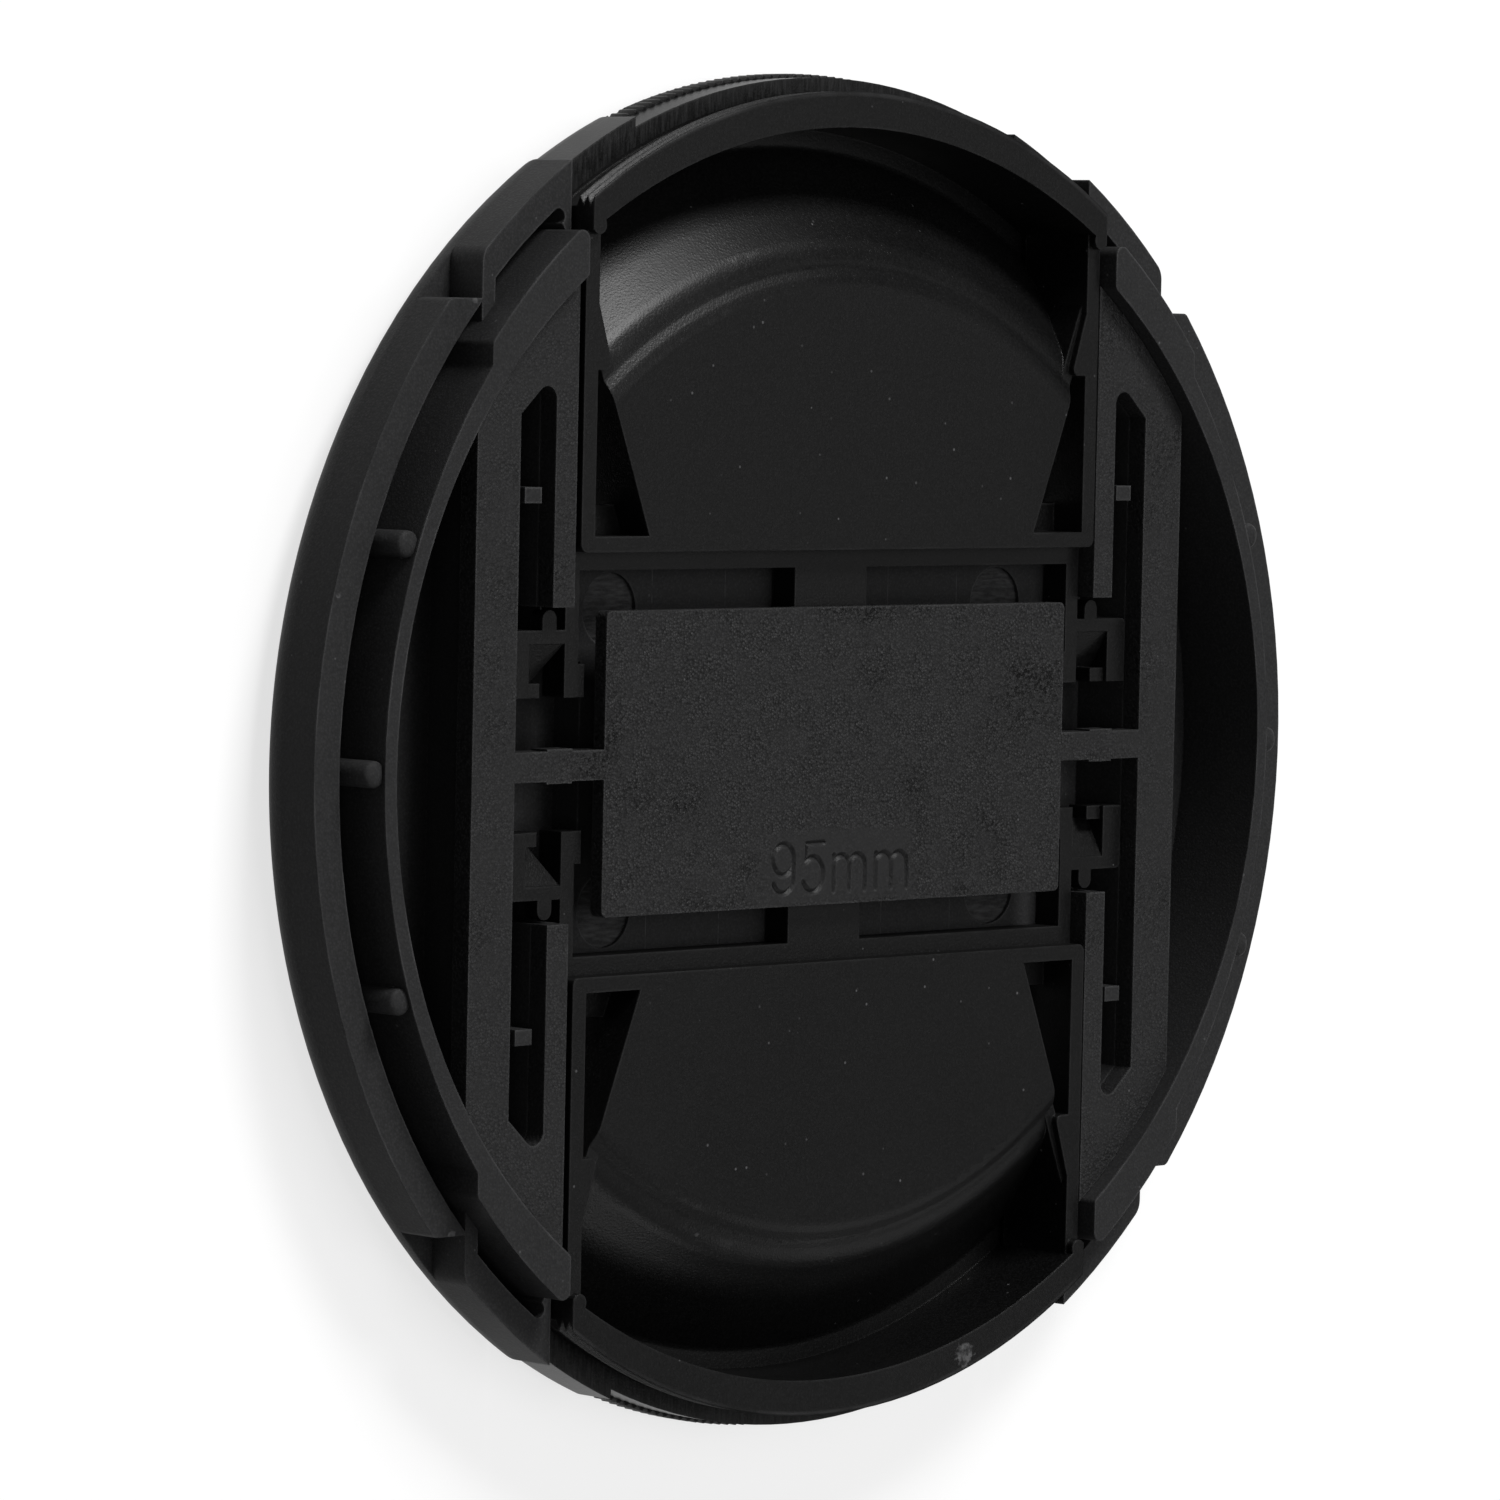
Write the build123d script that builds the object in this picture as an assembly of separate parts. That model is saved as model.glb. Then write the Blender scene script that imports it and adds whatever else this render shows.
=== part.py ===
from build123d import *
import os
from math import acos, cos, degrees, radians, sin, sqrt

# Centre-pinch lens cap for a 95 mm filter thread, in millimetres.
# It lies on its front face: X to the right, Y along the pinch, Z towards the lens.

os.makedirs("parts", exist_ok=True)

# Ridges that catch the lens thread
thread_crest = 47.4
thread_depth = 0.6
thread_pitch = 0.7
thread_count = 3

# Cap body
rim_overlap = 2.2
rim_wall = 2.3
rim_top = 6.4
front_panel = 1.4
front_round = 3.0
notch_angle = 42.65
notch_web = 0.15
notch_wall = 1.2
notch_floor = 3.1
shoulder_round = 1.5
rim_end_round = 0.6

# Ring that enters the lens
ring_inset = 2.0
ring_wall = 1.1
ring_top = 8.85
bore_shift = 2.3
lobe_rise = 1.0
lobe_gap = 0.5
lobe_long = 9.0
lobe_round = 0.6
lobe_tip_round = 0.7
lobe_heel_round = 0.4
groove_floor = 2.6
groove_web = 1.2
groove_relief = 0.25
rib_radius = 0.9
rib_angle = 19.7
rib_drop = 1.2

# Centre band of the body, with the spring trough
band_half = 14.3
band_top = 4.0
trough_half = 2.5
trough_floor = 1.7
post_half = 0.9
post_side = 2.2
window_long = 4.0
window_half = 7.0
ejector_inset = 6.5
ejector_y = 10.6
ejector_radius = 2.6
ejector_deep = 0.3

# How far a slider is pushed in
pinch_travel = 3.0

# Retainer
retainer_top = 7.6
bar_thick = 1.6
plate_thick = 1.1
plate_inset = 2.8
plate_y = 10.67
plate_round = 0.5
mid_bar_half = 1.05
boss_offset = 1.5
boss_half = 1.2
boss_lift = 0.15
inner_bar_start = 10.97
inner_bar_wide = 2.05
slot_wide = 3.35
slot_tip_round = 0.9
corner_web = 5.1
outer_bar_wide = 4.05

# Locating posts of the retainer
stake_in = 1.6
stake_back = 8.65
stake_long = 1.6
stake_wide = 1.1
stake_drop = 0.5

# Pinch sliders
slider_half = 26.4
side_wall = 1.3
end_wall = 1.1
end_y = 14.75
end_round = 0.6
tray_top = 7.8
tray_floor = 1.1
slider_top = 8.45
arc_thick = 2.55
arc_shift = 3.4
foot_land = 1.4
foot_top = 0.95
foot_round = 0.5
dish_wide = 7.15
dish_round = 3.0
land_wide = 1.3
land_fall = 0.2
land_round = 1.0
step_wide = 1.1
step_drop = 0.55
step_round = 2.0
bead_radius = 0.65
bead_inset = 0.6
bead_height = 1.6
skirt_step = 0.55
skirt_top = 5.3
skirt_round = 2.0
grip_step = 1.2
grip_half = 19.5
knurl_step = 0.9
knurl_top = 2.9
hole_inset = 6.6
hole_flat = 0.82
hole_past = 0.85
well_wall = 1.2
ledge_thick = 0.8
gusset_deep = 1.45
gusset_long = 4.6
gusset_height = 2.8
gusset_round = 0.5

# Tail frame of a slider
cross_bar = 1.3
mid_tail_half = 3.7
tail_end = 4.65
fork_end = 4.3
tab_wide = 0.6
tab_long = 2.3
bracket_out = 5.35
bracket_wall = 1.95
bracket_bar_y = 9.35
bracket_bar = 0.95
bracket_round = 0.45
ramp_drop = 0.1
ramp_low = 0.5
ramp_long = 2.8
ramp_foot = 1.6
heel_wide = 1.4
heel_long = 1.0
heel_drop = 0.4
peg_half = 0.67
peg_thick = 1.3
peg_long = 1.4

# Finger wall on the front of a slider
finger_y = 17.8
finger_wall = 1.4
finger_half = 15.0
finger_rib = 0.5
finger_ribs = 9
finger_front = 0.4

# Return springs
wire = 0.5
wire_sides = 6
spring_outer = 4.4
spring_seat = 10.2
spring_turns = 5
spring_peg = 1.2
spring_peg_long = 1.0

# Clearances
guide_gap = 0.2
slide_gap = 0.15
table_gap = 0.2
spring_gap = 0.05
retainer_gap = 0.35
edge_gap = 0.1
lug_gap = 0.3
cut_past = 1.0

# Radii that follow from the thread
thread_root = thread_crest - thread_depth
rim_radius = thread_crest + rim_overlap
groove_outer = rim_radius - rim_wall
ring_radius = thread_crest - ring_inset
lobe_radius = ring_radius + lobe_rise
pocket_outer = groove_outer + groove_relief
pocket_middle = (pocket_outer + lobe_radius) / 2
ring_bore = ring_radius - ring_wall - bore_shift
skirt_radius = rim_radius - skirt_step
grip_radius = rim_radius - grip_step
knurl_radius = rim_radius - knurl_step
arc_inner = thread_crest - arc_thick
arc_bore = arc_inner + arc_shift
foot_radius = arc_inner - foot_land
dish_edge = foot_radius - dish_wide
land_radius = dish_edge - land_wide
step_radius = land_radius - step_wide
notch_x = (groove_outer + notch_web) * cos(radians(notch_angle))
notch_y = (groove_outer + notch_web) * sin(radians(notch_angle))
beyond = 2 * rim_radius

# Places across the cap that follow from the sliders
guide_x = slider_half + guide_gap
wall_x = slider_half - side_wall
lobe_end = guide_x + lobe_gap
lobe_start = lobe_end + lobe_long
groove_end = guide_x + groove_web
ejector_x = slider_half - ejector_inset
plate_x = slider_half - plate_inset
inner_bar_x = slider_half + retainer_gap
slot_x = inner_bar_x + inner_bar_wide
outer_bar_x = slot_x + slot_wide
outer_bar_far = outer_bar_x + outer_bar_wide
boss_x = slider_half + boss_offset
bracket_x = slider_half + bracket_out
bracket_in = bracket_x - bracket_wall
hole_inner = slider_half - hole_inset


def chord(radius, x):
    return sqrt(radius**2 - x**2)


# Places along the pinch
retainer_edge = ring_bore - edge_gap
slot_tip = chord(retainer_edge, slot_x - bore_shift) - corner_web
slot_shoulder = chord(retainer_edge, outer_bar_x - bore_shift) - corner_web
tray_start = end_y + end_wall
hole_end = chord(dish_edge + hole_past, wall_x)
well_slope = (wall_x - hole_flat - hole_inner) / (hole_end - tray_start)
# The opening in the front panel clears the sloping sides of a finger well when it is pinched in.
opening_half = hole_inner + well_slope * (pinch_travel + band_half - tray_start) + lug_gap
opening_flare_end = band_half + (guide_x - opening_half) / well_slope
well_low_start = band_half + pinch_travel + lug_gap
bracket_bar_in = bracket_bar_y - bracket_bar

# Heights
retainer_under = retainer_top - bar_thick
plate_under = retainer_top - plate_thick
tail_top = plate_under - slide_gap
tail_bottom = band_top + slide_gap
tray_under = tray_top - tray_floor
land_top = tray_top - step_drop
edge_top = land_top - land_fall
panel_clear = front_panel + slide_gap
spring_axis = plate_under - slide_gap - spring_gap - spring_outer / 2


def block(x0, x1, y0, y1, z0, z1):
    centre = Pos((x0 + x1) / 2, (y0 + y1) / 2, (z0 + z1) / 2)
    return centre * Box(x1 - x0, y1 - y0, z1 - z0)


def drum(radius, z0, z1):
    return Pos(0, 0, (z0 + z1) / 2) * Cylinder(radius, z1 - z0)


def outline(*points):
    return make_face(Polyline(*points, close=True))


def slab(plan, z0, z1):
    return Pos(0, 0, z0) * extrude(plan, z1 - z0)


def round_corner(plan, corner, radius):
    nearest = plan.vertices().sort_by_distance(corner)[0]
    return fillet(nearest, radius)


def both_x(shape):
    return shape + mirror(shape, about=Plane.YZ)


def both_y(shape):
    return shape + mirror(shape, about=Plane.XZ)


def rod_along_y(radius, x, y0, y1, z):
    return Pos(x, (y0 + y1) / 2, z) * Rot(90, 0, 0) * Cylinder(radius, y1 - y0)


def lens_ring():
    # A thin ring that thickens towards its four lobes, because its bore is struck from a shifted centre.
    right_side = Pos(lobe_end + beyond / 2, 0) * Rectangle(beyond, beyond)
    lobe_span = Pos((lobe_end + lobe_start) / 2, 0) * Rectangle(lobe_long, beyond)
    plan = (Circle(ring_radius) & right_side) + (Circle(lobe_radius) & lobe_span)
    plan = plan - Pos(bore_shift, 0) * Circle(ring_bore)
    for side in (-1, 1):
        plan = round_corner(plan, (lobe_end, side * chord(lobe_radius, lobe_end)), lobe_tip_round)
        heel_y = chord(ring_bore, lobe_end - bore_shift)
        plan = round_corner(plan, (lobe_end, side * heel_y), lobe_heel_round)
        plan = round_corner(plan, (lobe_start, side * chord(lobe_radius, lobe_start)), lobe_round)
        plan = round_corner(plan, (lobe_start, side * chord(ring_radius, lobe_start)), lobe_round)
    half = slab(plan, front_panel, ring_top)
    ribs = [
        Rot(0, 0, angle) * Pos(ring_radius, 0, 0) * drum(rib_radius, front_panel, ring_top - rib_drop)
        for angle in (-rib_angle, 0, rib_angle)
    ]
    return both_x(half + ribs)


def stepped_rim():
    # The rim is cut back at four corners above the notch floor.
    disc = drum(rim_radius, 0, rim_top)
    disc = fillet(disc.edges().group_by(Axis.Z)[0], front_round)
    base = disc & block(-beyond, beyond, -beyond, beyond, 0, notch_floor)
    corner = Pos(notch_x + beyond / 2, notch_y + beyond / 2) * Rectangle(beyond, beyond)
    plan = Circle(rim_radius) - both_y(both_x(corner))
    for x_side in (-1, 1):
        for y_side in (-1, 1):
            shoulder = (x_side * notch_x, y_side * chord(rim_radius, notch_x))
            plan = round_corner(plan, shoulder, shoulder_round)
            rim_end = (x_side * chord(rim_radius, notch_y), y_side * notch_y)
            plan = round_corner(plan, rim_end, rim_end_round)
    return base + slab(plan, notch_floor, rim_top)


def corner_plan(inner_x, far_x, edge):
    # One corner of the retainer, trimmed to follow the bore of the ring.
    plan = outline(
        (far_x, 0),
        (far_x, beyond),
        (inner_x, beyond),
        (inner_x, inner_bar_start),
        (slot_x, inner_bar_start),
        (slot_x, slot_tip),
        (outer_bar_x, slot_shoulder),
        (outer_bar_x, 0),
    )
    plan = plan & Pos(bore_shift, 0) * Circle(edge)
    return round_corner(plan, (slot_x, slot_tip), slot_tip_round)


def retainer_seats():
    # Walls under the bars of the retainer, and the posts that locate it in its slots.
    seat_plan = corner_plan(guide_x, outer_bar_far - bar_thick, ring_bore + ring_wall / 2)
    seat = slab(seat_plan, front_panel, retainer_under)
    stake_x = slot_x + stake_in
    stake_y = slot_tip - stake_back
    stake = block(
        stake_x - stake_long / 2,
        stake_x + stake_long / 2,
        stake_y - stake_wide / 2,
        stake_y + stake_wide / 2,
        front_panel,
        retainer_top - stake_drop,
    )
    return both_y(both_x(seat + stake))


def cap_body():
    shell = stepped_rim() - drum(groove_outer, front_panel, rim_top + cut_past)
    # Raised floor of the groove between rim and ring
    web_outer = groove_outer + rim_wall / 2
    groove = drum(web_outer, front_panel, groove_floor)
    shell = shell + (groove - drum(ring_radius - ring_wall, 0, rim_top))
    # A shoulder has a pocket of its own, wider than the groove, with a round end towards the slider
    pocket_far = notch_x - notch_wall
    pocket = drum(pocket_outer, groove_floor, rim_top + cut_past)
    shell = shell - both_y(both_x(pocket & block(guide_x, pocket_far, 0, beyond, 0, ring_top)))
    band_of_web = drum(web_outer, front_panel, rim_top) - drum(ring_radius, front_panel, rim_top)
    notch_side = band_of_web & block(pocket_far, notch_x, 0, beyond, front_panel, rim_top)
    pocket_turn = degrees(acos(groove_end / pocket_middle))
    past_pocket = Rot(0, 0, pocket_turn) * block(0, beyond, 0, beyond, 0, rim_top)
    slider_side = band_of_web & block(guide_x, beyond, 0, beyond, 0, rim_top) & past_pocket
    pocket_end = drum((pocket_outer - lobe_radius) / 2, groove_floor, rim_top + cut_past)
    slider_side = slider_side - Pos(groove_end, chord(pocket_middle, groove_end), 0) * pocket_end
    shell = shell + lens_ring() + both_y(both_x(notch_side + slider_side))
    # Bays for the two sliders, with the front panel kept under their sides
    bay = block(-guide_x, guide_x, band_half, beyond, front_panel, ring_top + cut_past)
    opening_plan = outline(
        (-opening_half, band_half),
        (opening_half, band_half),
        (guide_x, opening_flare_end),
        (guide_x, beyond),
        (-guide_x, beyond),
        (-guide_x, opening_flare_end),
    )
    opening = slab(opening_plan, -cut_past, front_panel + cut_past)
    shell = shell - both_y(bay) - both_y(opening)
    # Centre band, with deep windows at its ends and the trough and post that the springs bear on
    band = block(-guide_x, guide_x, -band_half, band_half, 0, band_top)
    trough_end = spring_seat + cross_bar + lug_gap
    trough_top = band_top + cut_past
    band = band - block(-trough_half, trough_half, -trough_end, trough_end, trough_floor, trough_top)
    window_x = guide_x - window_long
    band = band - both_x(block(window_x, guide_x, -window_half, window_half, front_panel, trough_top))
    ejector = Pos(ejector_x, ejector_y, 0) * drum(ejector_radius, band_top - ejector_deep, trough_top)
    band = band - both_y(both_x(ejector))
    post = block(-post_side, post_side, -post_half, post_half, trough_floor, plate_under)
    pegs = rod_along_y(
        spring_peg, 0, -post_half - spring_peg_long, post_half + spring_peg_long, spring_axis
    )
    return shell + band + post + pegs + retainer_seats()


def retainer():
    plate = slab(RectangleRounded(2 * plate_x, 2 * plate_y, plate_round), plate_under, retainer_top)
    mid_bar = block(plate_x - side_wall, outer_bar_x, -mid_bar_half, mid_bar_half, plate_under, retainer_top)
    rib = block(plate_x, outer_bar_x, -mid_bar_half, mid_bar_half, retainer_under, retainer_top)
    boss_y = mid_bar_half + boss_lift
    boss = block(boss_x - boss_half, boss_x + boss_half, -boss_y, boss_y, retainer_under, retainer_top)
    side = slab(corner_plan(inner_bar_x, outer_bar_far, retainer_edge), retainer_under, retainer_top)
    return plate + both_x(mid_bar + rib + boss) + both_y(both_x(side))


def tray():
    # The dished floor is turned about the centre that the inside of the arc wall is struck from.
    outer_edge = arc_inner + arc_thick / 2
    top_line = FilletPolyline(
        (band_half, tray_top),
        (step_radius, tray_top),
        (land_radius, land_top),
        (dish_edge, edge_top),
        (foot_radius, foot_top),
        (outer_edge, foot_top),
        radius=(step_round, land_round, dish_round, foot_round),
    )
    under_line = FilletPolyline(
        (outer_edge, table_gap),
        (foot_radius - tray_floor, table_gap),
        (step_radius, tray_under),
        (band_half, tray_under),
        radius=(foot_round + tray_floor, land_round),
    )
    outer_end = Line(top_line @ 1, under_line @ 0)
    inner_end = Line(under_line @ 1, top_line @ 0)
    profile = make_face([top_line, outer_end, under_line, inner_end])
    dish = Pos(0, -arc_shift, 0) * revolve(Plane.XZ * Pos(arc_shift, 0) * profile, Axis.Z, 180)
    dish_x = slider_half - side_wall / 2
    dish = dish & block(-dish_x, dish_x, end_y + end_wall / 2, beyond, 0, slider_top)
    hole = outline(
        (hole_inner, tray_start), (wall_x, tray_start), (wall_x, hole_end), (wall_x - hole_flat, hole_end)
    )
    dish = dish - both_x(slab(hole, panel_clear, slider_top))
    # Sloping walls of the finger well and straight side walls, cut away over the centre band
    well_inside = [
        (wall_x, tray_start + (wall_x - hole_inner + well_wall) / well_slope),
        (hole_inner - well_wall, tray_start),
        (hole_inner, tray_start),
    ]
    well_low = outline(*well_inside, (wall_x, tray_start + (wall_x - hole_inner) / well_slope))
    well_high = outline(*well_inside, (wall_x - hole_flat, hole_end), (wall_x, hole_end))
    well = slab(well_low, table_gap, panel_clear)
    well = well + slab(well_high, panel_clear, tray_top - tray_floor / 2)
    side = block(wall_x, slider_half, tray_start, beyond, panel_clear, tray_top)
    side = side & drum(thread_root - thread_depth, 0, slider_top)
    low_walls = well + side - block(0, beyond, 0, well_low_start, 0, tail_bottom)
    ledge_end = well_low_start + lug_gap
    ledge = block(hole_inner, wall_x, tray_start, ledge_end, tail_bottom, tail_bottom + ledge_thick)
    gusset_corner = (wall_x - gusset_deep, hole_end)
    gusset = outline((wall_x, hole_end), gusset_corner, (wall_x, hole_end + gusset_long))
    gusset = round_corner(gusset, gusset_corner, gusset_round)
    gusset = slab(gusset, tray_top - gusset_height, tray_top)
    end = block(-slider_half, slider_half, end_y, tray_start, tail_bottom, tray_top)
    end = fillet(end.edges().filter_by(Axis.Z).group_by(Axis.Y)[0], end_round)
    return dish + both_x(low_walls + ledge + gusset) + end


def arc_wall():
    # Wall with ridges that catch the lens thread, on a skirt that carries the outer grip.
    points = [(foot_radius, table_gap), (thread_root, table_gap)]
    for n in reversed(range(thread_count)):
        crest_z = slider_top - n * thread_pitch
        points = points + [(thread_root, crest_z - thread_pitch / 2), (thread_crest, crest_z)]
    points = points + [(foot_radius, slider_top)]
    wall = revolve(Plane.XZ * outline(*points), Axis.Z, 180)
    skirt = drum(skirt_radius, table_gap, skirt_top)
    skirt = fillet(skirt.edges().group_by(Axis.Z)[0], skirt_round)
    skirt = skirt - drum(foot_radius, 0, slider_top)
    # The grip is set back between the flush ends of the skirt, less so where it is serrated.
    outside = drum(beyond, 0, slider_top)
    recess = (outside - drum(grip_radius, 0, slider_top)) & block(
        -grip_half, grip_half, 0, beyond, knurl_top, slider_top
    )
    serrated = (outside - drum(knurl_radius, 0, slider_top)) & block(
        -grip_half, grip_half, 0, beyond, 0, slider_top
    )
    width = block(-slider_half, slider_half, 0, beyond, 0, slider_top)
    wall = (wall + (skirt - recess - serrated)) & width
    wall = wall - Pos(0, -arc_shift, 0) * drum(arc_bore, 0, slider_top + cut_past)
    bead_x = slider_half - bead_inset
    bead_y = chord(arc_bore, bead_x) - arc_shift
    bead = Pos(bead_x, bead_y, 0) * drum(bead_radius, slider_top - bead_height, slider_top) & width
    return wall + both_x(bead)


def tail_frame():
    cross = block(-slider_half, slider_half, end_y - cross_bar, tray_start, tail_bottom, tail_top)
    strip = block(wall_x, slider_half, tail_end, end_y, tail_bottom, tail_top)
    tab = block(wall_x - tab_wide, slider_half, tail_end, tail_end + tab_long, tail_bottom, tail_top)
    fork = block(-mid_tail_half, mid_tail_half, fork_end, end_y, tail_bottom, tail_top)
    fork = fork - block(-trough_half, trough_half, 0, spring_seat, 0, slider_top)
    lug = block(
        -post_side, post_side, spring_seat, spring_seat + cross_bar, trough_floor + lug_gap, tail_top
    )
    # Bracket beside the strip, with a ramp in its corner and a round-ended peg on its bar
    bracket = outline(
        (slider_half, bracket_bar_in),
        (bracket_in, bracket_bar_in),
        (bracket_in, tail_end),
        (bracket_x, tail_end),
        (bracket_x, bracket_bar_y),
        (slider_half, bracket_bar_y),
    )
    bracket = round_corner(bracket, (bracket_x, bracket_bar_y), bracket_round)
    bracket = slab(bracket, tail_bottom, tail_top)
    ramp_end = bracket_bar_in - ramp_long
    ramp_side = outline(
        (ramp_end, tail_bottom),
        (bracket_bar_in, tail_bottom),
        (bracket_bar_in, tail_top - ramp_drop),
        (ramp_end, tail_bottom + ramp_low),
    )
    ramp = Pos(slider_half, 0, 0) * extrude(Plane.YZ * ramp_side, bracket_in - slider_half)
    ramp_top = outline(
        (slider_half, bracket_bar_in),
        (bracket_in, bracket_bar_in),
        (bracket_in, ramp_end),
        (bracket_in - ramp_foot, ramp_end),
    )
    ramp = ramp & slab(ramp_top, tail_bottom, tail_top)
    heel = block(
        bracket_in - heel_wide, bracket_in, tail_end, tail_end + heel_long, tail_bottom, tail_top - heel_drop
    )
    peg_y = bracket_bar_y + peg_long - peg_half
    peg = block(boss_x - peg_half, boss_x + peg_half, bracket_bar_in, peg_y, tail_top - peg_thick, tail_top)
    peg = peg + Pos(boss_x, peg_y, 0) * drum(peg_half, tail_top - peg_thick, tail_top)
    return cross + fork + lug + both_x(strip + tab + bracket + ramp + heel + peg)


def finger_grip():
    finger_top = tray_under + tray_floor / 2
    wall = block(-finger_half, finger_half, finger_y, finger_y + finger_wall, finger_front, finger_top)
    pitch = 2 * finger_half / finger_ribs
    ribs = [
        Pos(-finger_half + (n + 0.5) * pitch, finger_y + finger_wall, 0)
        * drum(finger_rib, finger_front, finger_top)
        for n in range(finger_ribs)
    ]
    return wall + ribs


def slider():
    return tray() + arc_wall() + tail_frame() + finger_grip()


def spring():
    coil_radius = (spring_outer - wire) / 2
    start = post_half + spring_gap + wire / 2
    length = spring_seat - spring_gap - wire / 2 - start
    path = Helix(length / spring_turns, length, coil_radius)
    section = Plane(origin=path @ 0, z_dir=path % 0) * RegularPolygon(wire / 2, wire_sides)
    coil = sweep(section, path, is_frenet=True)
    return Pos(0, start, spring_axis) * Rot(-90, 0, 0) * coil


half_turn = Rot(0, 0, 180)
upper_slider = slider()
upper_spring = spring()

export_step(cap_body(), "parts/cap_body.step")
export_step(retainer(), "parts/retainer.step")
export_step(upper_slider, "parts/upper_slider.step")
export_step(half_turn * upper_slider, "parts/lower_slider.step")
export_step(upper_spring, "parts/upper_spring.step")
export_step(half_turn * upper_spring, "parts/lower_spring.step")
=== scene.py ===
import bpy
import bmesh
import math
from mathutils import Matrix, Vector


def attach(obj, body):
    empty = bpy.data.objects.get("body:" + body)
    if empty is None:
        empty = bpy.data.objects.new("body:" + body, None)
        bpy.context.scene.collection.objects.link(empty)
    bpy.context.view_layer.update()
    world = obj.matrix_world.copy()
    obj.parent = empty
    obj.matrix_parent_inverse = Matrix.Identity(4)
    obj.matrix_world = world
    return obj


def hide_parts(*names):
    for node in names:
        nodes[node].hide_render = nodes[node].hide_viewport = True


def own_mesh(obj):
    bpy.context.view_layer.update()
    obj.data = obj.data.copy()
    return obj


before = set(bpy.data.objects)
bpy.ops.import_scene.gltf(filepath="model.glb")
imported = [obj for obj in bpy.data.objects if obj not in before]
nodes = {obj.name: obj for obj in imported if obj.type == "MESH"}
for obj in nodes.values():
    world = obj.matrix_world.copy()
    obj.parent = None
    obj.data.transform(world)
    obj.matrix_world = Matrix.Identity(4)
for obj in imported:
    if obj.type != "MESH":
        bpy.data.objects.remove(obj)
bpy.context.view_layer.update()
mm = 0.001
print("frame loaded with", len(nodes), "pieces")


# Small helpers for shader nodes
def newMaterial(name):
    mat = bpy.data.materials.new(name)
    mat.use_nodes = True
    mat.node_tree.nodes.clear()
    return mat, mat.node_tree


def addNode(tree, kind, **inputs):
    node = tree.nodes.new(kind)
    for key, value in inputs.items():
        node.inputs[key.replace("_", " ")].default_value = value
    return node


def setOutput(tree, shader):
    out = tree.nodes.new("ShaderNodeOutputMaterial")
    tree.links.new(shader.outputs[0], out.inputs["Surface"])


def mathNode(tree, operation, first, second=0.0):
    node = tree.nodes.new("ShaderNodeMath")
    node.operation = operation
    for slot, value in zip(node.inputs, (first, second)):
        if isinstance(value, (int, float)):
            slot.default_value = value
        else:
            tree.links.new(value, slot)
    return node.outputs[0]


def product(tree, first, *others):
    for other in others:
        first = mathNode(tree, "MULTIPLY", first, other)
    return first


def spread(tree, value, fromLow, fromHigh, toLow=0.0, toHigh=1.0):
    node = addNode(tree, "ShaderNodeMapRange", From_Min=fromLow, From_Max=fromHigh,
                   To_Min=toLow, To_Max=toHigh)
    tree.links.new(value, node.inputs["Value"])
    return node.outputs["Result"]


def mixColour(tree, share, first, second):
    node = tree.nodes.new("ShaderNodeMix")
    node.data_type = "RGBA"
    tree.links.new(share, node.inputs["Factor"])
    for slot, value in zip((node.inputs["A"], node.inputs["B"]), (first, second)):
        if isinstance(value, tuple):
            slot.default_value = value
        else:
            tree.links.new(value, slot)
    return node.outputs["Result"]


def grey(level):
    return (level, level, level * 1.02, 1)


def noise(tree, place, scale, detail=2.0):
    node = addNode(tree, "ShaderNodeTexNoise", Scale=scale, Detail=detail)
    tree.links.new(place, node.inputs["Vector"])
    return node.outputs["Fac"]


def cellPattern(tree, place, scale):
    # Distance to the middle of each cell, and three random values per cell
    cells = addNode(tree, "ShaderNodeTexVoronoi", Scale=scale)
    tree.links.new(place, cells.inputs["Vector"])
    pick = tree.nodes.new("ShaderNodeSeparateColor")
    tree.links.new(cells.outputs["Color"], pick.inputs[0])
    return cells.outputs["Distance"], pick.outputs


def streaks(tree, place, turn, scale, detail=3.0):
    node = addNode(tree, "ShaderNodeMapping", Rotation=(0, 0, turn), Scale=scale)
    tree.links.new(place, node.inputs["Vector"])
    return noise(tree, node.outputs[0], 1.0, detail)


def near(tree, value, target, half):
    # 1 close to target, falling to 0 over the outer fifth of half
    off = mathNode(tree, "ABSOLUTE", mathNode(tree, "SUBTRACT", value, target))
    return spread(tree, off, half, half * 0.8)


# shade and tip are the hollows and tips of the grain; grain is per metre, sizes are in mm,
# and each chip is x, y, z and size; the edge tone is the paler colour of outer edges, rubbed wear and
# painted highlight
plasticLooks = {
    "body": dict(
        shade=0.022, tip=0.034, rough=0.45, gloss=0.05, grain=5600, grainHeight=0.010, pits=0.2,
        edge=0.18, wornAndHighlitEdgeTone=0.11, dust=0.16,
        chips=[(-47.7, 12.0, 6.4, 0.35), (-46.8, 6.2, 6.4, 0.3),
               (-35.6, 32.0, 6.4, 0.4), (-36.2, -32.0, 6.4, 0.6)],
    ),
    "slider": dict(
        shade=0.0014, tip=0.0065, rough=0.38, gloss=0.23, grain=5600, grainHeight=0.009, pits=0.2,
        edge=0.18, wornAndHighlitEdgeTone=0.03, dust=0.22,
        chips=[(13.6, -44.3, 8.45, 1.5), (-13.0, -33.6, 7.1, 0.3),
               (14.5, -35.9, 6.9, 0.3), (-1.7, 38.2, 5.5, 0.25)],
    ),
    "retainer": dict(
        shade=0.006, tip=0.043, rough=0.44, gloss=0.16, grain=5200, grainHeight=0.070, pits=1.0,
        edge=0.18, wornAndHighlitEdgeTone=0.08, dust=0.12,
        chips=[(-30.5, 24.0, 7.6, 0.25), (33.0, 6.0, 7.6, 0.25)],
    ),
}

# Grain of rounded pebbles, crown to foot in cell distance, of uneven height
pebble = dict(crown=0.1, foot=0.85, low=0.4, high=1.25)


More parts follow.
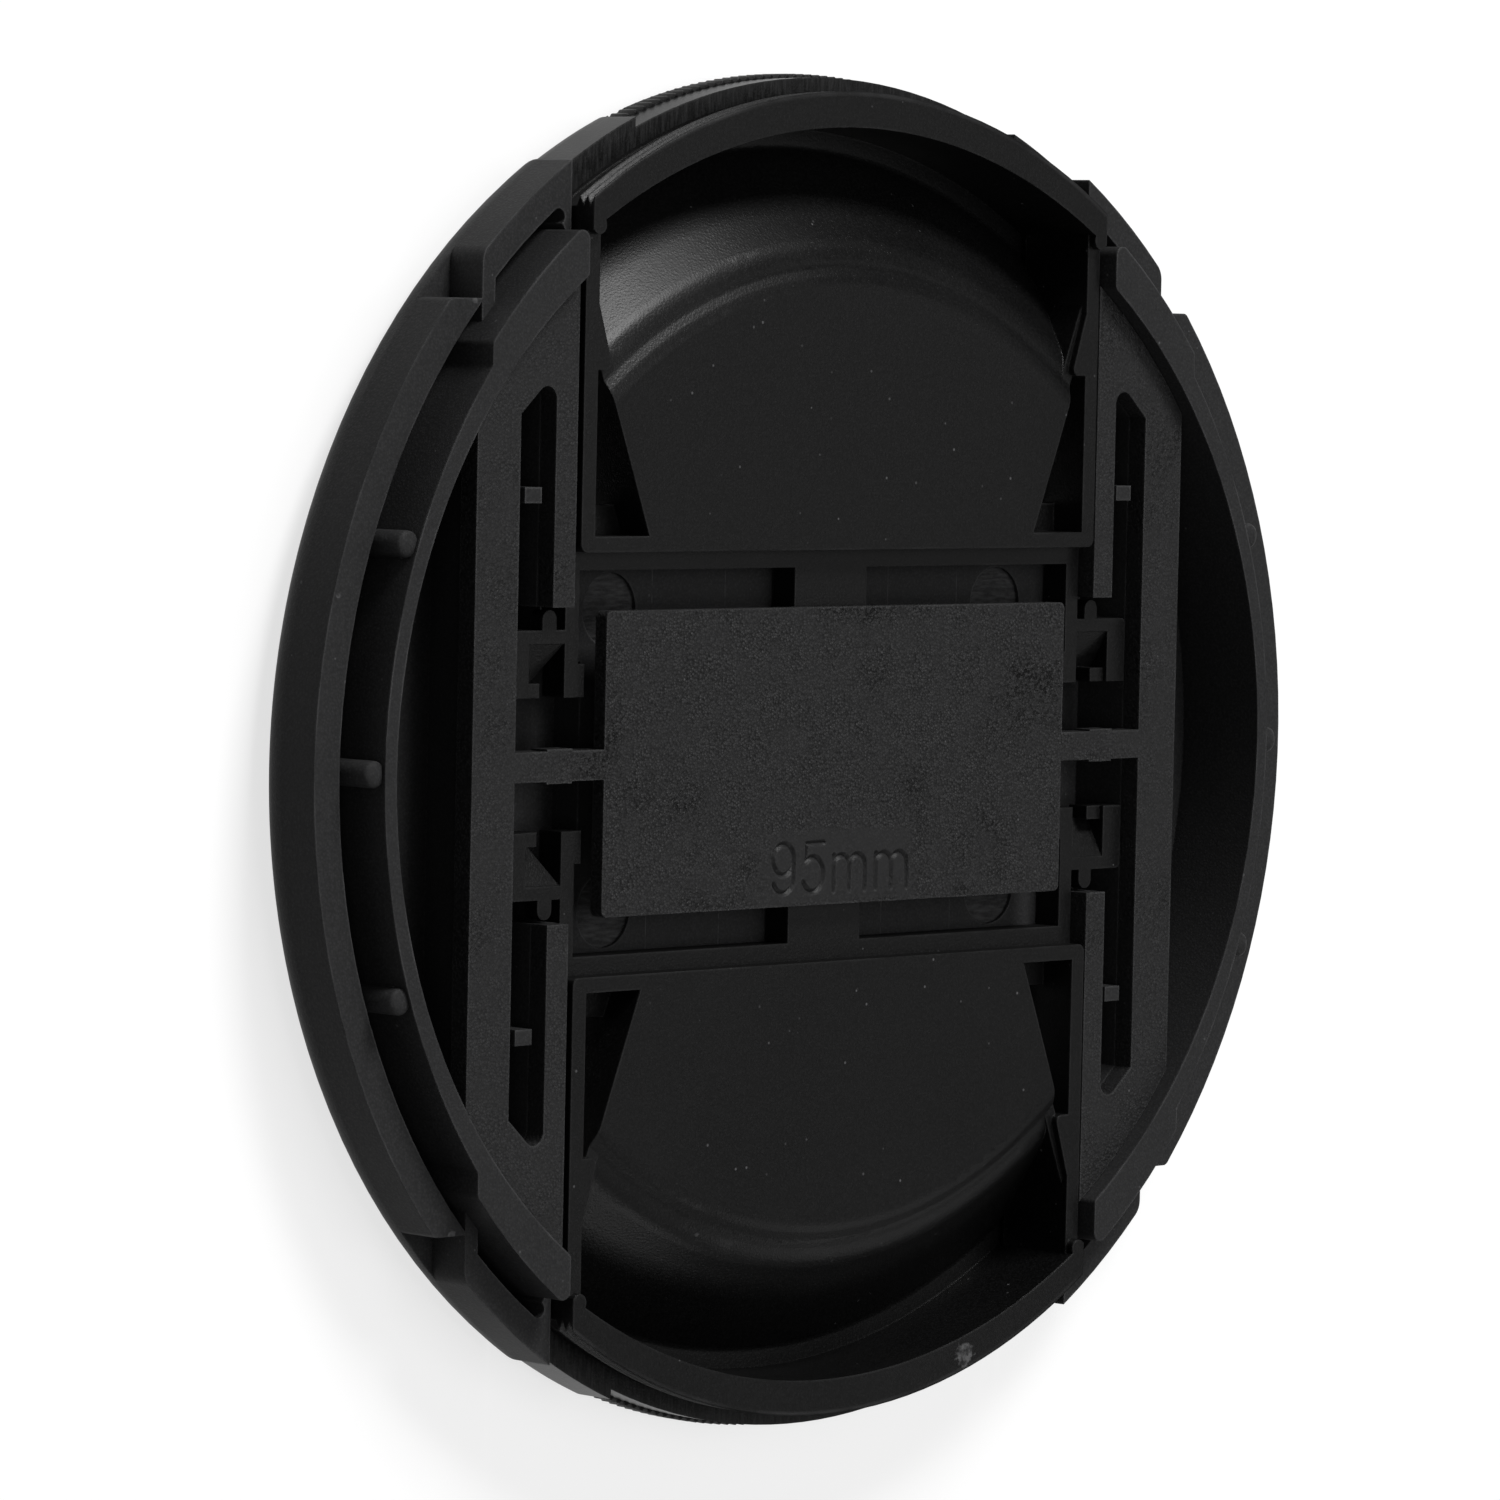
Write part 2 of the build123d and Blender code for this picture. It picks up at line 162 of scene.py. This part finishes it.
def pebbleGrain(tree, place, look):
    distance, pick = cellPattern(tree, place, look["grain"])
    dome = spread(tree, distance, pebble["crown"], pebble["foot"], 1.0, 0.0)
    return product(tree, dome, spread(tree, pick[0], 0.0, 1.0, pebble["low"], pebble["high"]))


# Pits gathered in patches; scale is their share of the grain's count per metre
pitting = dict(scale=0.6, edge=(0.50, 0.60), patchScale=110, patch=(0.52, 0.68), shade=0.45)


def grainPits(tree, place, look):
    pits = spread(tree, noise(tree, place, look["grain"] * pitting["scale"]), *pitting["edge"])
    patch = noise(tree, place, pitting["patchScale"], 3.0)
    return product(tree, pits, spread(tree, patch, *pitting["patch"], 0.0, look["pits"]))


# Coarse grain on the retainer's plate, finer on its bars and round the size mark
plateFace = dict(
    half=(23.6, 10.67), fade=1.25, barGrain=0.6, plainLevel=0.35,
    markMiddle=(0.3, -7.95), markHalf=(8.3, 2.9), markGrain=0.3,
    patchScale=420, patch=(0.35, 0.6), patchGrain=0.5,
)


def inPlateBox(tree, axes, middle, half):
    return product(tree, near(tree, axes["X"], middle[0] * mm, half[0] * mm),
                   near(tree, axes["Y"], middle[1] * mm, half[1] * mm))


def plateStrength(tree, place, axes):
    onPlate = inPlateBox(tree, axes, (0, 0), [side * plateFace["fade"] for side in plateFace["half"]])
    onMark = inPlateBox(tree, axes, plateFace["markMiddle"], plateFace["markHalf"])
    patch = noise(tree, place, plateFace["patchScale"])
    return product(tree, spread(tree, onPlate, 0.0, 1.0, plateFace["barGrain"], 1.0),
                   spread(tree, onMark, 0.0, 1.0, 1.0, plateFace["markGrain"]),
                   spread(tree, patch, *plateFace["patch"], plateFace["patchGrain"], 1.0))


# Seams of the mould inserts on the body's band floor, and the scraped marks left by its ejectors
bandFloor = dict(shade=0.055, lift=2.0)
mouldLines = dict(places=(8.4, 15.7), half=0.05, floor=4.0, level=0.06, gapScale=1500, gaps=(0.35, 0.6))
ejectorMarks = dict(x=19.9, y=10.6, half=3.0, floor=3.7, level=0.12,
                    turn=0.6, scale=(900, 4200, 900), scrape=(0.38, 0.7))


def bandFloorMarks(tree, place, axes):
    across = mathNode(tree, "ABSOLUTE", axes["X"])
    along = mathNode(tree, "ABSOLUTE", axes["Y"])
    lines = [near(tree, across, spot * mm, mouldLines["half"] * mm) for spot in mouldLines["places"]]
    seam = product(tree, mathNode(tree, "MAXIMUM", *lines),
                   near(tree, axes["Z"], mouldLines["floor"] * mm, mouldLines["level"] * mm),
                   spread(tree, noise(tree, place, mouldLines["gapScale"]), *mouldLines["gaps"]))
    scrape = streaks(tree, place, ejectorMarks["turn"], ejectorMarks["scale"])
    mark = product(tree, near(tree, across, ejectorMarks["x"] * mm, ejectorMarks["half"] * mm),
                   near(tree, along, ejectorMarks["y"] * mm, ejectorMarks["half"] * mm),
                   near(tree, axes["Z"], ejectorMarks["floor"] * mm, ejectorMarks["level"] * mm),
                   spread(tree, scrape, *ejectorMarks["scrape"]))
    return seam, mark


# Coarse tool marks on the back of a slider's skirt
skirtBand = dict(height=5.3, level=0.08, innerReach=47.4, turn=0.15, scale=(5200, 700, 700),
                 pale=(0.4, 0.75), shade=0.02, lift=2.5)


def skirtMarks(tree, place, axes):
    reach = tree.nodes.new("ShaderNodeVectorMath")
    reach.operation = "LENGTH"
    tree.links.new(place, reach.inputs[0])
    zone = product(tree, near(tree, axes["Z"], skirtBand["height"] * mm, skirtBand["level"] * mm),
                   mathNode(tree, "GREATER_THAN", reach.outputs["Value"], skirtBand["innerReach"] * mm))
    return zone, streaks(tree, place, skirtBand["turn"], skirtBand["scale"])


# Paler outer edges, found where the plastic is thin behind the surface: partly rubbed wear, partly a
# painted highlight for the light caught on rounded edges
edgeWearAndHighlight = dict(thin=(0.9, 0.5), patchScale=210, patch=(0.35, 0.65), least=0.1)


def wornAndHighlitEdges(tree, place, look):
    thin = addNode(tree, "ShaderNodeAmbientOcclusion", Distance=look["edge"] * mm)
    thin.inside = True
    thin.only_local = True
    thin.samples = 1
    patch = noise(tree, place, edgeWearAndHighlight["patchScale"], 4.0)
    return product(tree, spread(tree, thin.outputs["AO"], *edgeWearAndHighlight["thin"]),
                   spread(tree, patch, *edgeWearAndHighlight["patch"], edgeWearAndHighlight["least"], 1.0))


# Dust specks, radius as a share of their cell, and pale chips with ragged edges
blemish = dict(
    shade=0.085, dustScale=1000, dustRadius=(0.05, 0.14), dustSoft=0.6,
    raggedScale=2600, ragged=1.1, chipEdge=(1.2, 1.0),
    chipScale=1900, chipPale=(0.38, 0.62, 0.15, 1.0), chipDeep=2.0,
)


def dustSpecks(tree, place, look):
    distance, pick = cellPattern(tree, place, blemish["dustScale"])
    across = mathNode(tree, "DIVIDE", distance, spread(tree, pick[2], 0.0, 1.0, *blemish["dustRadius"]))
    speck = spread(tree, across, 1.0, blemish["dustSoft"])
    return product(tree, speck, mathNode(tree, "LESS_THAN", pick[0], look["dust"]), pick[1])


def paleChips(tree, place, look):
    ragged = product(tree, noise(tree, place, blemish["raggedScale"], 3.0), blemish["ragged"])
    found = None
    for x, y, z, size in look["chips"]:
        apart = tree.nodes.new("ShaderNodeVectorMath")
        apart.operation = "DISTANCE"
        tree.links.new(place, apart.inputs[0])
        apart.inputs[1].default_value = (x * mm, y * mm, z * mm)
        share = mathNode(tree, "ADD", mathNode(tree, "DIVIDE", apart.outputs["Value"], size * mm), ragged)
        chip = spread(tree, share, *blemish["chipEdge"])
        found = chip if found is None else mathNode(tree, "MAXIMUM", found, chip)
    tone = noise(tree, place, blemish["chipScale"])
    return product(tree, found, spread(tree, tone, *blemish["chipPale"]))


# Roughness drifts with a slow cloud
sheen = dict(scale=60, cloud=(0.3, 0.7), less=0.05, more=0.06)


def mouldedPlastic(name, look, bandFloorMarked=False, skirtMarked=False, plateGrained=False):
    mat, tree = newMaterial(name)
    place = tree.nodes.new("ShaderNodeTexCoord").outputs["Object"]
    split = tree.nodes.new("ShaderNodeSeparateXYZ")
    tree.links.new(place, split.inputs[0])
    axes = split.outputs

    bumps = pebbleGrain(tree, place, look)
    pits = grainPits(tree, place, look)
    if plateGrained:
        strength = plateStrength(tree, place, axes)
        level = plateFace["plainLevel"]
        swing = product(tree, mathNode(tree, "SUBTRACT", bumps, level), strength)
        bumps = mathNode(tree, "ADD", swing, level)
        pits = product(tree, pits, strength)
    colour = mixColour(tree, bumps, grey(look["shade"]), grey(look["tip"]))
    colour = mixColour(tree, pits, colour, grey(look["shade"] * pitting["shade"]))
    height = mathNode(tree, "SUBTRACT", bumps, pits)

    if bandFloorMarked:
        seam, mark = bandFloorMarks(tree, place, axes)
        colour = mixColour(tree, mathNode(tree, "MAXIMUM", seam, mark), colour, grey(bandFloor["shade"]))
        raised = product(tree, mathNode(tree, "ADD", seam, mark), bandFloor["lift"])
        height = mathNode(tree, "ADD", height, raised)
    if skirtMarked:
        zone, marks = skirtMarks(tree, place, axes)
        pale = product(tree, zone, spread(tree, marks, *skirtBand["pale"]))
        colour = mixColour(tree, pale, colour, grey(skirtBand["shade"]))
        height = mathNode(tree, "ADD", height, product(tree, zone, marks, skirtBand["lift"]))

    # Outer edges made paler: rubbed wear together with a painted edge highlight
    colour = mixColour(tree, wornAndHighlitEdges(tree, place, look), colour, grey(look["wornAndHighlitEdgeTone"]))
    chips = paleChips(tree, place, look)
    spotted = mathNode(tree, "MAXIMUM", dustSpecks(tree, place, look), chips)
    colour = mixColour(tree, spotted, colour, grey(blemish["shade"]))
    height = mathNode(tree, "SUBTRACT", height, product(tree, chips, blemish["chipDeep"]))

    cloud = noise(tree, place, sheen["scale"], 3.0)
    rough = spread(tree, cloud, *sheen["cloud"],
                   look["rough"] - sheen["less"], look["rough"] + sheen["more"])
    rounded = addNode(tree, "ShaderNodeBevel", Radius=look["edge"] * mm)
    rounded.samples = 3
    bump = addNode(tree, "ShaderNodeBump", Strength=1.0, Distance=look["grainHeight"] * mm)
    tree.links.new(height, bump.inputs["Height"])
    tree.links.new(rounded.outputs[0], bump.inputs["Normal"])
    shader = addNode(tree, "ShaderNodeBsdfPrincipled", Specular_IOR_Level=look["gloss"])
    tree.links.new(colour, shader.inputs["Base Color"])
    tree.links.new(rough, shader.inputs["Roughness"])
    tree.links.new(bump.outputs[0], shader.inputs["Normal"])
    setOutput(tree, shader)
    return mat


wireLook = dict(dark=(0.42, 0.42, 0.43, 1), pale=(0.56, 0.56, 0.57, 1),
                scale=900, drawn=(0.3, 0.7), rough=(0.2, 0.35))


def wireSteel():
    mat, tree = newMaterial("spring wire")
    place = tree.nodes.new("ShaderNodeTexCoord").outputs["Object"]
    drawn = noise(tree, place, wireLook["scale"])
    shader = addNode(tree, "ShaderNodeBsdfPrincipled", Metallic=1.0)
    tree.links.new(mixColour(tree, drawn, wireLook["dark"], wireLook["pale"]), shader.inputs["Base Color"])
    tree.links.new(spread(tree, drawn, *wireLook["drawn"], *wireLook["rough"]), shader.inputs["Roughness"])
    setOutput(tree, shader)
    return mat


bodyPlastic = mouldedPlastic("body plastic", plasticLooks["body"], bandFloorMarked=True)
sliderPlastic = mouldedPlastic("slider plastic", plasticLooks["slider"], skirtMarked=True)
retainerPlastic = mouldedPlastic("retainer plastic", plasticLooks["retainer"], plateGrained=True)
springWire = wireSteel()
nodes["cap_body"].material_slots[0].material = bodyPlastic
print("finishes made")


# Small helpers for pieces
def addPiece(name, mesh, finish, body):
    mesh.materials.clear()
    mesh.materials.append(finish)
    piece = bpy.data.objects.new(name, mesh)
    bpy.context.scene.collection.objects.link(piece)
    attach(piece, body)
    return piece


def smoothFaces(mesh, angle):
    mesh.polygons.foreach_set("use_smooth", [True] * len(mesh.polygons))
    mesh.set_sharp_from_angle(angle=math.radians(angle))


def joinLoops(shape, loops):
    count = len(loops[0])
    for low, high in zip(loops, loops[1:]):
        for index in range(count):
            following = (index + 1) % count
            shape.faces.new((low[index], low[following], high[following], high[index]))
    shape.faces.new(reversed(loops[0]))
    shape.faces.new(loops[-1])


def finishedMesh(shape, name, angle):
    bmesh.ops.recalc_face_normals(shape, faces=shape.faces)
    mesh = bpy.data.meshes.new(name)
    shape.to_mesh(mesh)
    shape.free()
    smoothFaces(mesh, angle)
    return mesh


def tubeMesh(name, path):
    tube = bpy.data.objects.new(name, path)
    bpy.context.scene.collection.objects.link(tube)
    graph = bpy.context.evaluated_depsgraph_get()
    mesh = bpy.data.meshes.new_from_object(tube.evaluated_get(graph))
    bpy.data.objects.remove(tube)
    return mesh


def tubePath(name, radius, resolution):
    path = bpy.data.curves.new(name, "CURVE")
    path.dimensions = "3D"
    path.bevel_depth = radius * mm
    path.bevel_resolution = resolution
    path.use_fill_caps = True
    return path


# Round-topped nubs that stand against the outside of the lens ring
ringNubs = dict(
    reach=45.95, radius=0.93, turns=(-19.7, 0, 19.7), sides=24, smooth=50,
    # share of radius, height
    profile=[(1.0, 2.6), (1.0, 8.3), (0.96, 8.42), (0.84, 8.52), (0.5, 8.6), (0.16, 8.63)],
)


def standNubs():
    shape = bmesh.new()
    for turn in [start + step for start in (0, 180) for step in ringNubs["turns"]]:
        angle = math.radians(turn)
        middle = Vector((math.cos(angle), math.sin(angle), 0)) * ringNubs["reach"]
        loops = []
        for share, height in ringNubs["profile"]:
            loop = []
            for step in range(ringNubs["sides"]):
                around = 2 * math.pi * step / ringNubs["sides"]
                out = Vector((math.cos(around), math.sin(around), 0)) * share * ringNubs["radius"]
                loop.append(shape.verts.new((middle + out + Vector((0, 0, height))) * mm))
            loops.append(loop)
        joinLoops(shape, loops)
    addPiece("ring_nubs", finishedMesh(shape, "ring_nubs", ringNubs["smooth"]), bodyPlastic, "cap")


standNubs()
print("nubs stood round the ring")

# Sliders, with the front strip of the grip sunk a little so that its ribs end at the slider's own radius
grip = dict(
    crest=48.7, seat=48.42, root=48.37, halfWidth=19.5, endGap=0.45,
    low=1.07, top=2.9, pitch=0.8, ribHalf=0.31, smooth=40, match=0.01,
    flank=[(1.0, 0.33), (0.6, 0.12), (0.22, 0.0)],  # share of ribHalf, depth below the crest
    fade=[(-0.02, 0.2), (0.22, 0.0)],  # height over low, depth held back at the front edge
    topFade=[(0.06, 0.0), (0.0, 0.05)],  # height under top, depth held back
)


def pinchSlider(name):
    mesh = nodes[name].data.copy()
    match = grip["match"]
    for vertex in mesh.vertices:
        x, y, z = vertex.co / mm
        reach = math.hypot(x, y)
        onStrip = abs(x) < grip["halfWidth"] + match and z < grip["top"] + match
        if onStrip and abs(reach - grip["crest"]) < match / 2:
            vertex.co.x *= grip["seat"] / reach
            vertex.co.y *= grip["seat"] / reach
    piece = addPiece(name + "_moulding", mesh, sliderPlastic, name)
    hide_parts(name)


def gripRibs(name, side):
    shape = bmesh.new()
    half = math.asin((grip["halfWidth"] - grip["endGap"]) / grip["crest"])
    count = int(2 * half * grip["crest"] / grip["pitch"])
    profile = [(-across, deep) for across, deep in grip["flank"]] + grip["flank"][::-1]
    rows = [(grip["low"] + over, back) for over, back in grip["fade"]]
    rows += [(grip["top"] - under, back) for under, back in grip["topFade"]]
    for number in range(count):
        turn = -half + (number + 0.5) * 2 * half / count
        loops = []
        for height, back in rows:
            loop = []
            for across, deep in profile:
                angle = turn + across * grip["ribHalf"] / grip["crest"]
                reach = max(grip["root"], grip["crest"] - deep - back)
                spot = Vector((reach * math.sin(angle), side * reach * math.cos(angle), height))
                loop.append(shape.verts.new(spot * mm))
            loops.append(loop)
        joinLoops(shape, loops)
    ribs = name + "_grip_ribs"
    addPiece(ribs, finishedMesh(shape, ribs, grip["smooth"]), sliderPlastic, name)


for sliderName, side in (("upper_slider", 1), ("lower_slider", -1)):
    pinchSlider(sliderName)
    gripRibs(sliderName, side)
print("sliders and grip ribs set")

# Retainer, with its size sunk into the plate as sloping grooves of one width
sizeMark = dict(
    groove=0.29, face=7.6, lift=0.05, top=-6.2, base=-9.7, smallTop=-7.17,
    join=0.0001, weld=0.005, smooth=30,
    nine=dict(x=-5.54, half=1.05, bowl=1.1, tail=-158),
    five=dict(x=-2.53, half=1.07, bowl=1.24, right=-1.5, left=-3.2, foot=(-3.3, 1.35), sweep=(132, -156)),
    letters=dict(left=(-0.38, 3.98), arch=0.81),
    tips=[(0.14, 0.8), (0.23, 0.35)],  # how far a rounded end runs on, and its width there
)


def arcLine(centre, reach, start, stop, steps=18):
    line = []
    for step in range(steps + 1):
        angle = math.radians(start + (stop - start) * step / steps)
        line.append((centre[0] + reach[0] * math.cos(angle), centre[1] + reach[1] * math.sin(angle)))
    return line


def markLines():
    top, base, smallTop = sizeMark["top"], sizeMark["base"], sizeMark["smallTop"]
    nine, five, letters = sizeMark["nine"], sizeMark["five"], sizeMark["letters"]
    reach = (nine["half"], nine["bowl"])
    lines = [arcLine((nine["x"], top - nine["bowl"]), reach, 0, 360, 30)]
    tail = arcLine((nine["x"], base + nine["bowl"]), reach, 0, nine["tail"])
    lines.append([(nine["x"] + nine["half"], top - nine["bowl"])] + tail)
    bowl = arcLine((five["x"], base + five["bowl"]), (five["half"], five["bowl"]), *five["sweep"], 26)
    flag = [(five["right"], top), (five["left"], top), (five["foot"][0], top - five["foot"][1])]
    lines.append(flag + bowl)
    arch = letters["arch"]
    for left in letters["left"]:
        lines.append([(left, smallTop), (left, base)])
        for stem in (left, left + 2 * arch):
            curve = arcLine((stem + arch, smallTop - arch), (arch, arch), 180, 0, 12)
            lines.append(curve + [(stem + 2 * arch, base)])
    return lines


def roundedEnds(line):
    spots = [(*point, 1.0) for point in line]
    for end, inner in ((0, 1), (-1, -2)):
        away = (Vector(line[end]) - Vector(line[inner])).normalized()
        tips = [(*(Vector(line[end]) + away * run), width) for run, width in sizeMark["tips"]]
        spots = tips[::-1] + spots if end == 0 else spots + tips
    return spots


def markCutter():
    path = tubePath("size mark", sizeMark["groove"], 0)
    for line in markLines():
        closed = math.dist(line[0], line[-1]) < 1e-6
        spots = [(*point, 1.0) for point in line[:-1]] if closed else roundedEnds(line)
        spline = path.splines.new("POLY")
        spline.points.add(len(spots) - 1)
        for point, (x, y, width) in zip(spline.points, spots):
            point.co = (x * mm, y * mm, (sizeMark["face"] + sizeMark["lift"]) * mm, 1)
            point.radius = width
        spline.use_cyclic_u = closed
    cutter = bpy.data.objects.new("mark cutter", tubeMesh("size mark", path))
    bpy.context.scene.collection.objects.link(cutter)
    return cutter


def weldedMesh(mesh, gap):
    shape = bmesh.new()
    shape.from_mesh(mesh)
    bmesh.ops.remove_doubles(shape, verts=shape.verts, dist=gap)
    bmesh.ops.dissolve_degenerate(shape, edges=shape.edges, dist=gap)
    welded = bpy.data.meshes.new("retainer_marked")
    shape.to_mesh(welded)
    shape.free()
    if "custom_normal" in welded.attributes:
        welded.attributes.remove(welded.attributes["custom_normal"])
    return welded


def markedRetainer():
    whole = weldedMesh(nodes["retainer"].data, sizeMark["join"] * mm)
    piece = addPiece("retainer_marked", whole, retainerPlastic, "cap")
    cutter = markCutter()
    cut = piece.modifiers.new("size mark", "BOOLEAN")
    cut.operation = "DIFFERENCE"
    cut.solver = "EXACT"
    cut.use_self = True
    cut.object = cutter
    graph = bpy.context.evaluated_depsgraph_get()
    carved = bpy.data.meshes.new_from_object(piece.evaluated_get(graph))
    piece.modifiers.clear()
    bpy.data.objects.remove(cutter)
    marked = weldedMesh(carved, sizeMark["weld"] * mm)  # clears slivers where strokes cross
    marked.materials.clear()
    marked.materials.append(retainerPlastic)
    smoothFaces(marked, sizeMark["smooth"])
    piece.data = marked
    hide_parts("retainer")
    print("retainer has", len(marked.polygons), "faces with its size mark")


markedRetainer()

# Return springs; on the cap they shorten as the sliders go in, but each coil here is built at one length
# and fixed to the cap
spring = dict(
    inner=0.95, outer=10.15, axis=4.1, coil=1.95, wire=0.25, pinch=3.0, smooth=60,
    turns=7, endTurns=1.0, closedPitch=2.1, turnSteps=24,  # closedPitch in wire radii
)


def springReach(share):
    # Share of the length at a share of the wire, with the turns at both ends closed up
    length = spring["outer"] - spring["inner"] - 2 * spring["wire"]
    endShare = spring["endTurns"] / spring["turns"]
    closed = spring["endTurns"] * spring["closedPitch"] * spring["wire"] / length
    if share < endShare:
        along = share / endShare * closed
    elif share > 1 - endShare:
        along = 1 - (1 - share) / endShare * closed
    else:
        along = closed + (share - endShare) / (1 - 2 * endShare) * (1 - 2 * closed)
    return spring["inner"] + spring["wire"] + along * length


def returnSpring(name, side):
    steps = spring["turns"] * spring["turnSteps"]
    path = tubePath(name, spring["wire"], 3)
    line = path.splines.new("POLY")
    line.points.add(steps)
    for index, point in enumerate(line.points):
        share = index / steps
        turn = share * spring["turns"] * 2 * math.pi
        x = spring["coil"] * math.cos(turn)
        z = spring["axis"] + spring["coil"] * math.sin(turn)
        point.co = (x * mm, side * springReach(share) * mm, z * mm, 1)
    mesh = tubeMesh(name + "_path", path)
    smoothFaces(mesh, spring["smooth"])
    piece = addPiece(name + "_coil", mesh, springWire, "cap")
    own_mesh(piece)
    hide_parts(name)


returnSpring("upper_spring", 1)
returnSpring("lower_spring", -1)
print("springs coiled")

# Floor, light and camera
studio = dict(floorReach=1.6, floorShade=0.33, glow=0.71, sky=0.11)


def paleFloor():
    mesh = bpy.data.meshes.new("floor")
    reach = studio["floorReach"]
    corners = [(-reach, -reach, 0), (reach, -reach, 0), (reach, reach, 0), (-reach, reach, 0)]
    mesh.from_pydata(corners, [], [(0, 1, 2, 3)])
    floor = bpy.data.objects.new("floor", mesh)
    bpy.context.scene.collection.objects.link(floor)
    mat, tree = newMaterial("pale floor")
    shade = studio["floorShade"]
    matt = addNode(tree, "ShaderNodeBsdfDiffuse", Color=(shade, shade, shade, 1))
    glow = addNode(tree, "ShaderNodeEmission", Color=(1, 1, 1, 1))
    path = tree.nodes.new("ShaderNodeLightPath").outputs
    seen = mathNode(tree, "MAXIMUM", path["Is Camera Ray"], path["Is Glossy Ray"])
    seen = mathNode(tree, "MAXIMUM", seen, path["Is Transmission Ray"])
    tree.links.new(product(tree, seen, studio["glow"]), glow.inputs["Strength"])
    both = tree.nodes.new("ShaderNodeAddShader")
    tree.links.new(matt.outputs[0], both.inputs[0])
    tree.links.new(glow.outputs[0], both.inputs[1])
    setOutput(tree, both)
    mesh.materials.append(mat)


# Places and sizes in metres
softLights = {
    "top": dict(place=(0.12, 0.8, 0.57), size=(0.34, 0.28), watts=9.0),
    "foot": dict(place=(0.16, -0.86, 0.48), size=(0.34, 0.28), watts=0.95),
    "right": dict(place=(0.76, 0.08, 0.82), size=(0.5, 0.5), watts=0.35),
    "low right": dict(place=(0.79, -0.54, 0.55), size=(0.4, 0.4), watts=0.55),
    "overhead": dict(place=(0.1, 0.1, 1.1), size=(0.8, 0.8), watts=3.6),
    "camera side": dict(place=(-0.75, -0.05, 0.7), size=(0.3, 0.3), watts=0.5),
}


def hangLights():
    for name, light in softLights.items():
        lamp = bpy.data.lights.new(name, "AREA")
        lamp.shape = "RECTANGLE"
        lamp.size, lamp.size_y = light["size"]
        lamp.energy = light["watts"]
        holder = bpy.data.objects.new(name, lamp)
        holder.location = light["place"]
        holder.rotation_euler = (-Vector(light["place"])).to_track_quat("-Z", "Y").to_euler()
        bpy.context.scene.collection.objects.link(holder)
    world = bpy.data.worlds.new("studio")
    world.use_nodes = True
    sky = world.node_tree.nodes["Background"]
    sky.inputs["Color"].default_value = (1, 1, 1, 1)
    sky.inputs["Strength"].default_value = studio["sky"]
    bpy.context.scene.world = world


# Seen from the left and above; place in mm
cameraView = dict(
    place=(-385.3, 31.2, 377.7),
    right=(0.7021, 0.0204, 0.7118),
    up=(0.0269, 0.9981, -0.0551),
    focal=179.19,
    sensor=36,
)


def setCamera():
    data = bpy.data.cameras.new("view")
    data.sensor_width = cameraView["sensor"]
    data.lens = cameraView["focal"]
    right = Vector(cameraView["right"]).normalized()
    back = right.cross(Vector(cameraView["up"])).normalized()
    up = back.cross(right)
    turn = Matrix((right, up, back)).transposed().to_4x4()
    camera = bpy.data.objects.new("view", data)
    camera.matrix_world = Matrix.Translation(Vector(cameraView["place"]) * mm) @ turn
    bpy.context.scene.collection.objects.link(camera)
    bpy.context.scene.camera = camera
    bpy.context.scene.view_settings.view_transform = "Standard"


paleFloor()
hangLights()
setCamera()
print("floor, light and camera set")
